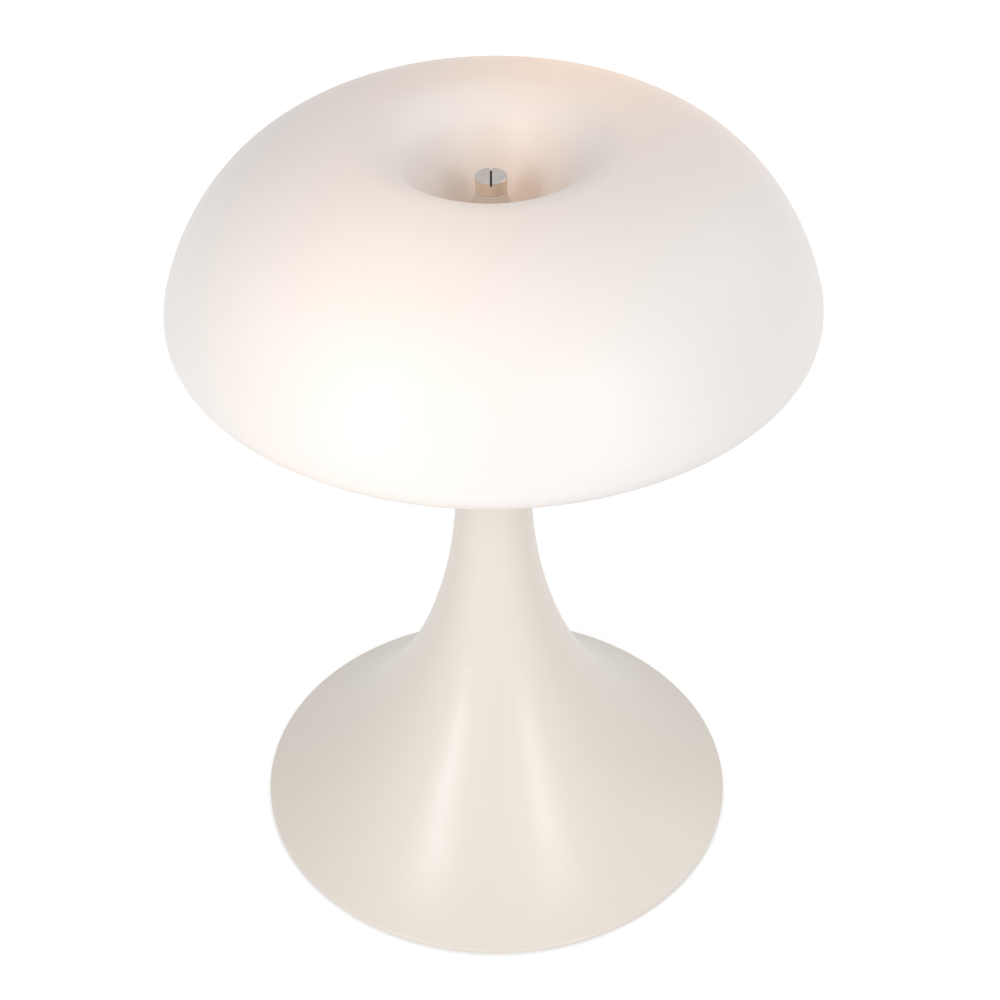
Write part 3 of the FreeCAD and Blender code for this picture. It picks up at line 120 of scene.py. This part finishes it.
class Tree:
    """Adds nodes to a node tree. Most methods return the new node's output socket."""

    def __init__(self, tree, empty=False):
        self.tree = tree
        if empty:
            tree.nodes.clear()

    def add(self, kind, **settings):
        made = self.tree.nodes.new(kind)
        for key, value in settings.items():
            setattr(made, key, value)
        return made

    def feed(self, socket, value):
        """Links a socket to value, or sets it where value is a plain number or tuple."""
        if isinstance(value, bpy.types.NodeSocket):
            self.tree.links.new(value, socket)
        else:
            socket.default_value = value

    def fill(self, made, *values):
        """Feeds a node's inputs in their order, and returns its first output."""
        for socket, value in zip(made.inputs, values):
            self.feed(socket, value)
        return made.outputs[0]

    def maths(self, operation, a, b=0.0, c=0.0, clamp=False):
        made = self.add("ShaderNodeMath", operation=operation, use_clamp=clamp)
        return self.fill(made, a, b, c)

    def vector(self, operation, a, b=(0.0, 0.0, 0.0), scale=1.0):
        made = self.add("ShaderNodeVectorMath", operation=operation)
        self.feed(made.inputs[0], a)
        self.feed(made.inputs[1], b)
        if operation == "SCALE":
            self.feed(made.inputs["Scale"], scale)
        return made.outputs["Value" if operation in ("DISTANCE", "LENGTH") else "Vector"]

    def split(self, value):
        made = self.add("ShaderNodeSeparateXYZ")
        self.feed(made.inputs[0], value)
        return made.outputs

    def join(self, x, y, z):
        return self.fill(self.add("ShaderNodeCombineXYZ"), x, y, z)

    def ramp(self, value, low, high, out_low=0.0, out_high=1.0, smooth=True):
        """Maps low to high onto out_low to out_high, and holds the ends beyond them."""
        made = self.add("ShaderNodeMapRange",
                        interpolation_type="SMOOTHSTEP" if smooth else "LINEAR")
        return self.fill(made, value, low, high, out_low, out_high)

    def shader(self, kind, **inputs):
        """A shader node with its inputs set or linked."""
        made = self.add(kind)
        for key, value in inputs.items():
            self.feed(made.inputs[key], value)
        return made.outputs[0]

    def seen(self):
        """1 for what the camera sees, directly or in metal and glass, and 0 for other light."""
        path = self.add("ShaderNodeLightPath").outputs
        direct = self.maths("ADD", path["Is Camera Ray"], path["Is Glossy Ray"], clamp=True)
        return self.maths("ADD", direct, path["Is Transmission Ray"], clamp=True)


class Finish(Tree):
    """One material, built on its Principled shader."""

    def __init__(self, name, roughness, metallic=0.0, **constants):
        self.material = bpy.data.materials.new(name)
        self.material.use_nodes = True
        super().__init__(self.material.node_tree)
        self.inputs = self.tree.nodes["Principled BSDF"].inputs
        self.inputs["Roughness"].default_value = roughness
        self.inputs["Metallic"].default_value = metallic
        for key, value in constants.items():
            self.inputs[key.replace("_", " ")].default_value = value
        self.place = self.add("ShaderNodeTexCoord").outputs["Object"]

    def noise(self, size, detail=2.0, roughness=0.5, where=None):
        """Noise with grains of about the given size in metres."""
        made = self.add("ShaderNodeTexNoise")
        self.feed(made.inputs["Vector"], where or self.place)
        made.inputs["Scale"].default_value = 1.0 / size
        made.inputs["Detail"].default_value = detail
        made.inputs["Roughness"].default_value = roughness
        return made.outputs["Fac"]

    def mix(self, factor, a, b):
        """Blends two colours; each is a tuple or another node's output."""
        made = self.add("ShaderNodeMix", data_type="RGBA")
        self.feed(made.inputs["Factor"], factor)
        for key, value in (("A", a), ("B", b)):
            socket = [s for s in made.inputs if s.name == key and s.type == "RGBA"][0]
            self.feed(socket, value if isinstance(value, bpy.types.NodeSocket) else (*value, 1.0))
        return [s for s in made.outputs if s.type == "RGBA"][0]

    def colour(self, factor, a, b):
        self.feed(self.inputs["Base Color"], self.mix(factor, a, b))

    def glow(self, value):
        self.feed(self.inputs["Emission Color"], value)

    def vary_roughness(self, factor, low, high):
        self.feed(self.inputs["Roughness"],
                  self.ramp(factor, *NOISE_RANGE, low, high, smooth=False))

    def bump(self, height, depth):
        """Bump from a 0 to 1 height that stands for depth metres."""
        made = self.add("ShaderNodeBump")
        made.inputs["Distance"].default_value = depth
        self.feed(made.inputs["Height"], height)
        self.feed(self.inputs["Normal"], made.outputs["Normal"])

    def from_axis(self):
        """Distance from the lamp's own axis, in metres."""
        x, y, _ = self.split(self.place)
        return self.vector("LENGTH", self.join(x, y, 0.0))


def plain(name, dark, light, roughness, grain, depth, **constants):
    """A moulded, cast or sheet finish: two close shades, uneven gloss and a fine surface grain."""
    made = Finish(name, roughness, **constants)
    made.colour(made.noise(grain * BROAD_GRAIN, 4.0, 0.6), dark, light)
    fine = made.noise(grain, 3.0, 0.55)
    made.vary_roughness(fine, roughness - GLOSS_SPREAD, roughness + GLOSS_SPREAD)
    made.bump(fine, depth)
    return made.material


# ------------------------------------------------------------------ materials
def cream_lacquer():
    """Sprayed satin lacquer on spun steel: a faint orange peel and a clear topcoat."""
    made = Finish("cream_lacquer_paint", 0.36, Coat_Weight=0.22, Coat_Roughness=0.27,
                  Specular_Tint=(0.72, 0.88, 1.0, 1.0))
    made.colour(made.noise(0.09, 3.0), (0.792, 0.726, 0.648), (0.812, 0.748, 0.672))
    made.vary_roughness(made.noise(0.02, 4.0), 0.33, 0.39)
    made.bump(made.noise(0.0016, 2.0, 0.45), 0.000012)
    return made.material


def opal_acrylic():
    """Blown opal acrylic, lit from inside: a painted glow, strongest where the light behind it is
    close, and taken down inside the dimple as painted shade.
    """
    made = Finish("opal_acrylic_glow", 0.46, Emission_Strength=1.0, Coat_Weight=0.05,
                  Coat_Roughness=0.35)
    made.colour(made.noise(0.06, 3.0), (0.822, 0.790, 0.762), (0.838, 0.808, 0.782))
    # painted shade inside the dimple
    dimple = made.ramp(made.from_axis(), *DIMPLE_SHADE_RADII)
    glow = made.vector("ADD", GLOW_BASE, made.vector("SCALE", GLOW_DIMPLE_SHADE, scale=dimple))
    for centre, strength in GLOW_LOBES:
        near = made.maths("DIVIDE", LOBE_REACH, made.vector("DISTANCE", made.place, centre))
        glow = made.vector("ADD", glow, made.vector("SCALE", strength, scale=near))
    made.glow(made.vector("MAXIMUM", glow, GLOW_LEAST))
    made.vary_roughness(made.noise(0.015, 3.0), 0.43, 0.49)
    made.bump(made.noise(0.004, 2.0, 0.4), 0.00002)
    return made.material


def shaded_collar_finish():
    """The thick sleeve under the finial: the same acrylic, coloured a darker, warmer tan as painted
    shade from its metal core.
    """
    made = Finish("collar_acrylic_in_painted_shade", 0.40, Coat_Weight=0.05, Coat_Roughness=0.3)
    # painted shade: darker and warmer than the opal shade's own colour
    made.colour(made.noise(0.02, 3.0), (0.72, 0.60, 0.49), (0.76, 0.64, 0.53))
    made.bump(made.noise(0.003, 2.0, 0.4), 0.00002)
    return made.material


def satin_nickel():
    """Turned and satin-plated metal: fine rings, a flank coloured lighter and warmer as a painted
    reflection of the lit dimple, and a slot coloured near black as painted shade.
    """
    made = Finish("satin_nickel_turned", 0.32, 1.0)
    x, _, z = made.split(made.place)
    radius = made.from_axis()
    faced = made.mix(made.noise(0.004, 3.0), (0.46, 0.43, 0.405), (0.52, 0.49, 0.46))
    # painted reflection: the flank is coloured a lighter warm tan, as if it mirrored the lit dimple
    flank_reflection_mask = made.maths("MULTIPLY", made.maths("GREATER_THAN", radius, FLANK_RADIUS),
                          made.maths("LESS_THAN", z, FINIAL_TOP - FINIAL_EDGE))
    flank_painted_reflection = made.mix(flank_reflection_mask, faced, (0.86, 0.73, 0.60))
    # painted shade: the slot is coloured near black
    slot_shade_mask = made.maths("MULTIPLY", made.maths("LESS_THAN", radius, SLOT_REACH),
                         made.maths("LESS_THAN", made.maths("ABSOLUTE", x), SLOT_HALF_WIDTH))
    slot_shade_mask = made.maths("MULTIPLY", slot_shade_mask, made.maths("GREATER_THAN", z, SLOT_FLOOR))
    made.colour(slot_shade_mask, flank_painted_reflection, (0.012, 0.010, 0.009))
    rings = made.noise(RING_PITCH, 3.0, 0.6, made.join(radius, 0.0, z))
    made.vary_roughness(rings, 0.26, 0.38)
    made.bump(rings, 0.000012)
    return made.material


def frosted_bulb():
    """White-coated bulb glass with the soft light of the lamp inside."""
    made = Finish("frosted_bulb_glass", 0.22, Emission_Strength=0.24, Coat_Weight=0.5,
                  Coat_Roughness=0.06)
    made.colour(made.noise(0.012, 3.0), (0.70, 0.65, 0.57), (0.74, 0.69, 0.61))
    outwards = made.vector("DISTANCE", made.place, (0.0, 0.0, HOLDER_AXIS * MM))
    made.glow(made.mix(made.ramp(outwards, *BULB_GLOW_SPAN), (0.55, 0.42, 0.28), (1.0, 0.86, 0.68)))
    made.bump(made.noise(0.0006), 0.000004)
    return made.material


def brass():
    """Stamped sheet brass, a little tarnished."""
    made = Finish("stamped_brass", 0.30, 1.0)
    made.colour(made.noise(0.006, 4.0, 0.6), (0.66, 0.45, 0.17), (0.78, 0.56, 0.25))
    fine = made.noise(0.0005, 3.0)
    made.vary_roughness(fine, 0.22, 0.40)
    made.bump(fine, 0.000008)
    return made.material


def zinc_steel():
    """Zinc-plated steel: a faint blue and yellow passivation over drawn metal."""
    made = Finish("zinc_plated_steel", 0.34, 1.0)
    made.colour(made.noise(0.007, 4.0, 0.6), (0.50, 0.50, 0.47), (0.62, 0.63, 0.66))
    drawn = made.vector("MULTIPLY", made.place, (1.0, 1.0, 0.25))
    fine = made.noise(0.0004, 3.0, where=drawn)
    made.vary_roughness(fine, 0.26, 0.44)
    made.bump(fine, 0.000008)
    return made.material


def threaded_steel():
    """The plated stem tube, with its rolled thread as bump and its thread roots coloured darker as
    painted shade.
    """
    made = Finish("threaded_stem_steel", 0.34, 1.0)
    x, y, z = made.split(made.place)
    turn = made.maths("DIVIDE", made.maths("ARCTAN2", y, x), 2 * math.pi)
    phase = made.maths("FRACT", made.maths("MULTIPLY_ADD", z, 1.0 / STEM_PITCH, turn))
    groove = made.maths("ABSOLUTE", made.maths("MULTIPLY_ADD", phase, 2.0, -1.0))
    # painted shade: the thread roots are coloured darker than the crests
    made.colour(groove, (0.36, 0.36, 0.34), (0.62, 0.63, 0.65))
    made.vary_roughness(made.noise(0.0008, 3.0), 0.28, 0.42)
    made.bump(groove, 0.0004)
    return made.material


def cast_iron():
    """Sand-cast iron under a thin black primer."""
    made = Finish("cast_iron_primed", 0.72, 0.35)
    coarse = made.noise(0.0024, 6.0, 0.65)
    made.colour(coarse, (0.035, 0.034, 0.033), (0.085, 0.082, 0.078))
    made.vary_roughness(coarse, 0.62, 0.82)
    made.bump(coarse, 0.00035)
    return made.material


MATERIALS = {
    "cream_lacquer": cream_lacquer(),
    "opal_acrylic": opal_acrylic(),
    "satin_nickel": satin_nickel(),
    "bulb_glass": frosted_bulb(),
    "brass": brass(),
    "zinc_steel": zinc_steel(),
    "cast_iron": cast_iron(),
    "black_lacquer": plain("black_lacquer_sheet",
                           dark=(0.016, 0.016, 0.017), light=(0.026, 0.026, 0.027),
                           roughness=0.42, grain=0.0011, depth=0.00003,
                           Coat_Weight=0.15, Coat_Roughness=0.3),
    "black_rubber": plain("black_rubber_ring",
                          dark=(0.020, 0.020, 0.021), light=(0.036, 0.035, 0.035),
                          roughness=0.78, grain=0.0006, depth=0.00004),
    "clear_rubber": plain("clear_silicone_rubber",
                          dark=(0.70, 0.68, 0.63), light=(0.78, 0.76, 0.71),
                          roughness=0.38, grain=0.0010, depth=0.00002),
    "white_moulding": plain("white_thermoset",
                            dark=(0.78, 0.76, 0.71), light=(0.84, 0.82, 0.77),
                            roughness=0.40, grain=0.0007, depth=0.00002),
    "cream_moulding": plain("cream_moulded_plastic",
                            dark=(0.70, 0.64, 0.55), light=(0.77, 0.72, 0.63),
                            roughness=0.45, grain=0.0007, depth=0.00002),
    "white_cable": plain("white_cable_sheath",
                         dark=(0.74, 0.73, 0.70), light=(0.82, 0.81, 0.78),
                         roughness=0.45, grain=0.0008, depth=0.00001),
    "fibre": plain("vulcanised_fibre",
                   dark=(0.46, 0.16, 0.10), light=(0.58, 0.22, 0.13),
                   roughness=0.70, grain=0.0005, depth=0.00004),
    # nylon coloured a darker tan than natural nylon, as painted shade
    "nylon": plain("nylon_in_painted_shade",
                   dark=(0.60, 0.51, 0.42), light=(0.68, 0.59, 0.49),
                   roughness=0.42, grain=0.0006, depth=0.00001),
    "aluminium_cap": plain("bulb_cap_aluminium",
                           dark=(0.58, 0.58, 0.59), light=(0.72, 0.72, 0.73),
                           roughness=0.30, grain=0.0006, depth=0.00001, metallic=1.0),
    "black_glass": plain("bulb_black_glass",
                         dark=(0.010, 0.010, 0.012), light=(0.02, 0.02, 0.024),
                         roughness=0.12, grain=0.0010, depth=0.00001, Coat_Weight=0.6),
}

# the collar's finish, with painted shade in its colour
SHADED_COLLAR = shaded_collar_finish()
OWN_FINISH = {"stem_tube": threaded_steel(), "pistil_collar": SHADED_COLLAR}
for part in frame["record"]["subparts"]:
    finish = OWN_FINISH.get(part["node"], MATERIALS[part["material_slot"]])
    nodes[part["node"]].data.materials.clear()
    nodes[part["node"]].data.materials.append(finish)


# ------------------------------------------------------------------ turned detail in mesh
def surface(name, rows):
    """A smooth mesh skin over rows of points; each row is a closed loop."""
    count = len(rows[0])
    vertices = [point for row in rows for point in row]
    faces = []
    for i in range(len(rows) - 1):
        for j in range(count):
            k = (j + 1) % count
            faces.append((i * count + j, i * count + k, (i + 1) * count + k, (i + 1) * count + j))
    mesh = bpy.data.meshes.new(name)
    mesh.from_pydata(vertices, [], faces)
    mesh.update()
    mesh.shade_smooth()
    made = bpy.data.objects.new(name, mesh)
    bpy.context.scene.collection.objects.link(made)
    return made


def turned(profile, steps):
    """Rows of points round +Z from (radius, height) pairs in millimetres.

    A radius may also be a function of the angle.
    """
    rows = []
    for radius, height in profile:
        row = []
        for j in range(steps):
            turn = 2 * math.pi * j / steps
            here = radius(turn) if callable(radius) else radius
            row.append((here * math.cos(turn) * MM, here * math.sin(turn) * MM, height * MM))
        rows.append(row)
    return rows


def on_holder(angle):
    """Turns the +Z axis outwards along a holder's axis."""
    return (Matrix.Translation((0.0, 0.0, HOLDER_AXIS * MM))
            @ Matrix.Rotation(math.radians(angle), 4, "Z")
            @ Matrix.Rotation(math.radians(90.0), 4, "Y"))


def threaded_cap(number, angle):
    """A bulb's screw cap: one rounded thread rolled into thin aluminium."""
    start, end = CAP_SPAN
    thread_start, thread_end = start + THREAD_INSETS[0], end - THREAD_INSETS[1]
    flat = CAP_RADIUS - THREAD_DEPTH

    def thread(along):
        """The radius at this height, as a function of the angle."""
        fade = min(1.0, (along - thread_start) / THREAD_FADE, (thread_end - along) / THREAD_FADE)

        def radius(turn):
            wave = 0.5 + 0.5 * math.cos(2 * math.pi * along / THREAD_PITCH - turn)
            return flat + THREAD_DEPTH * fade * wave ** 0.8
        return radius

    shoulder = [(CAP_RADIUS - 2.4, start), (CAP_RADIUS - 2.2, start + 0.1),
                (flat - 0.5, start + 0.9), (flat, start + 1.7)]
    heights = [thread_start + (thread_end - thread_start) * i / THREAD_ROWS
               for i in range(THREAD_ROWS + 1)]
    lip = [(flat, end - 1.6), (CAP_RADIUS - 0.15, end - 0.5), (CAP_RADIUS, end - 0.1),
           (CAP_RADIUS - 0.1, end), (CAP_RADIUS - 0.7, end), (CAP_RADIUS - 0.8, end - 0.6)]
    profile = shoulder + [(thread(along), along) for along in heights] + lip
    cap = surface("screw_cap_" + str(number), turned(profile, CAP_STEPS))
    cap.data.transform(on_holder(angle))
    cap.data.materials.append(MATERIALS["aluminium_cap"])
    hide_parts("bulb_cap_" + str(number))
    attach(cap, "bulb_" + str(number))


def insulator(number, angle):
    """The black glass end of a bulb, with the solder dot of the centre contact."""
    start = CAP_SPAN[0]
    glass = [(5.2, start + 0.4), (4.45, start - 0.1), (4.1, start - 0.9), (3.1, start - 2.0),
             (2.5, start - 2.35)]
    dot = [(2.5, start - 2.35), (2.35, start - 2.75), (1.7, start - 2.95), (0.8, start - 3.0),
           (0.01, start - 3.0)]
    for label, profile, finish in (("insulator_", glass, "black_glass"),
                                   ("solder_dot_", dot, "zinc_steel")):
        piece = surface(label + str(number), turned(profile, INSULATOR_STEPS))
        piece.data.transform(on_holder(angle))
        piece.data.materials.append(MATERIALS[finish])
        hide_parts("bulb_contact_" + str(number))
        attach(piece, "bulb_" + str(number))


def sleeve():
    """The collar under the finial, with its slow flare: as wide as the finial, then a skirt."""
    foot = [(7.4, 452.35), (15.1, 452.35), (15.5, 452.8), (15.4, 453.2), (14.6, 455.3)]
    skirt = [(14.3, 459.0), (13.8, 466.0), (13.4, 473.0), (13.0, 479.0), (12.45, 483.0)]
    flare = [(11.7, 485.5), (10.95, 487.3), (10.35, 488.9), (9.95, 490.4), (9.72, 491.8)]
    top = [(9.62, 492.9), (9.55, 493.35), (9.35, 493.5), (7.4, 493.5)]
    made = surface("opal_sleeve", turned(foot + skirt + flare + top, SLEEVE_STEPS))
    made.data.materials.append(SHADED_COLLAR)
    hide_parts("pistil_collar")
    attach(made, "shade_unit")


for index, holder_angle in enumerate(HOLDER_ANGLES):
    threaded_cap(index + 1, holder_angle)
    insulator(index + 1, holder_angle)
sleeve()


# ------------------------------------------------------------------ room
def floor():
    """A white studio table that keeps the lamp's soft shadow, with a painted contact shadow ring
    where the rim meets it.
    """
    mesh = bpy.data.meshes.new("studio_floor")
    half = FLOOR_HALF
    mesh.from_pydata([(-half, -half, 0.0), (half, -half, 0.0), (half, half, 0.0),
                      (-half, half, 0.0)], [], [(0, 1, 2, 3)])
    plane = bpy.data.objects.new("studio_floor", mesh)
    bpy.context.scene.collection.objects.link(plane)
    material = bpy.data.materials.new("studio_white")
    material.use_nodes = True
    tree = Tree(material.node_tree, empty=True)
    radius = tree.vector("LENGTH", tree.add("ShaderNodeTexCoord").outputs["Object"])
    # painted contact shadow ring at the rim
    near = tree.ramp(radius, RIM_RADIUS, RIM_RADIUS + CONTACT_SHADOW_WIDTH, CONTACT_SHADOW_LEVEL, FLOOR_LEVEL,
                     smooth=False)
    far = tree.ramp(radius, *FAR_RADII, 0.0, FAR_LIFT, smooth=False)
    lifted = tree.shader("ShaderNodeEmission", Color=WHITE, Strength=tree.maths("ADD", near, far))
    shadowed = tree.shader("ShaderNodeBsdfDiffuse", Color=FLOOR_SEEN)
    bounce = tree.shader("ShaderNodeBsdfDiffuse", Color=FLOOR_BOUNCE)
    direct = tree.fill(tree.add("ShaderNodeAddShader"), shadowed, lifted)
    either = tree.fill(tree.add("ShaderNodeMixShader"), tree.seen(), bounce, direct)
    tree.feed(tree.add("ShaderNodeOutputMaterial").inputs["Surface"], either)
    mesh.materials.append(material)


def world():
    """White where it is seen, and a plain soft level where it lights."""
    made = bpy.data.worlds.new("studio_world")
    bpy.context.scene.world = made
    made.use_nodes = True
    tree = Tree(made.node_tree, empty=True)
    level = tree.ramp(tree.seen(), 0.0, 1.0, WORLD_LEVEL, 1.0, smooth=False)
    light = tree.shader("ShaderNodeBackground", Color=WHITE, Strength=level)
    tree.feed(tree.add("ShaderNodeOutputWorld").inputs["Surface"], light)


def softbox(name, azimuth, elevation, distance, width, height, radiance, aim=(0.0, 0.0, 0.25)):
    """A rectangular area lamp; azimuth is from the front, towards the right."""
    turn, rise = math.radians(azimuth), math.radians(elevation)
    target = Vector(aim)
    place = target + distance * Vector((math.sin(turn) * math.cos(rise),
                                        -math.cos(turn) * math.cos(rise), math.sin(rise)))
    lamp = bpy.data.lights.new(name, "AREA")
    lamp.shape = "RECTANGLE"
    lamp.size, lamp.size_y = width, height
    lamp.energy = radiance * math.pi * width * height
    made = bpy.data.objects.new(name, lamp)
    made.matrix_world = (Matrix.Translation(place)
                         @ (target - place).to_track_quat("-Z", "Y").to_matrix().to_4x4())
    bpy.context.scene.collection.objects.link(made)


floor()
world()
softbox("strip_left", azimuth=-40.0, elevation=22.0, distance=2.0, width=0.34, height=1.6,
        radiance=8.8)
softbox("strip_right", azimuth=35.0, elevation=22.0, distance=2.0, width=0.34, height=1.6,
        radiance=6.8)
softbox("fill_right", azimuth=110.0, elevation=30.0, distance=2.2, width=1.4, height=1.4,
        radiance=1.06, aim=(0.0, 0.0, 0.30))


# ------------------------------------------------------------------ camera
def camera():
    """The photograph's view, from a fit to the outlines of the base, neck, shade and finial."""
    data = bpy.data.cameras.new("photo_camera")
    data.lens = CAMERA_LENS
    data.shift_x, data.shift_y = CAMERA_SHIFT
    data.clip_start, data.clip_end = CAMERA_CLIP
    made = bpy.data.objects.new("photo_camera", data)
    pitch, yaw, roll = (math.radians(angle) for angle in (CAMERA_PITCH, CAMERA_YAW, CAMERA_ROLL))
    forward = Vector((math.sin(yaw) * math.cos(pitch), math.cos(yaw) * math.cos(pitch),
                      -math.sin(pitch)))
    level = Vector((math.cos(yaw), -math.sin(yaw), 0.0))
    upward = level.cross(forward)
    right = math.cos(roll) * level + math.sin(roll) * upward
    top = -math.sin(roll) * level + math.cos(roll) * upward
    turn = Matrix((right, top, -forward)).transposed().to_4x4()
    made.matrix_world = Matrix.Translation(CAMERA_PLACE) @ turn
    bpy.context.scene.collection.objects.link(made)
    bpy.context.scene.camera = made


camera()
bpy.context.scene.view_settings.view_transform = "Standard"

bpy.context.view_layer.update()
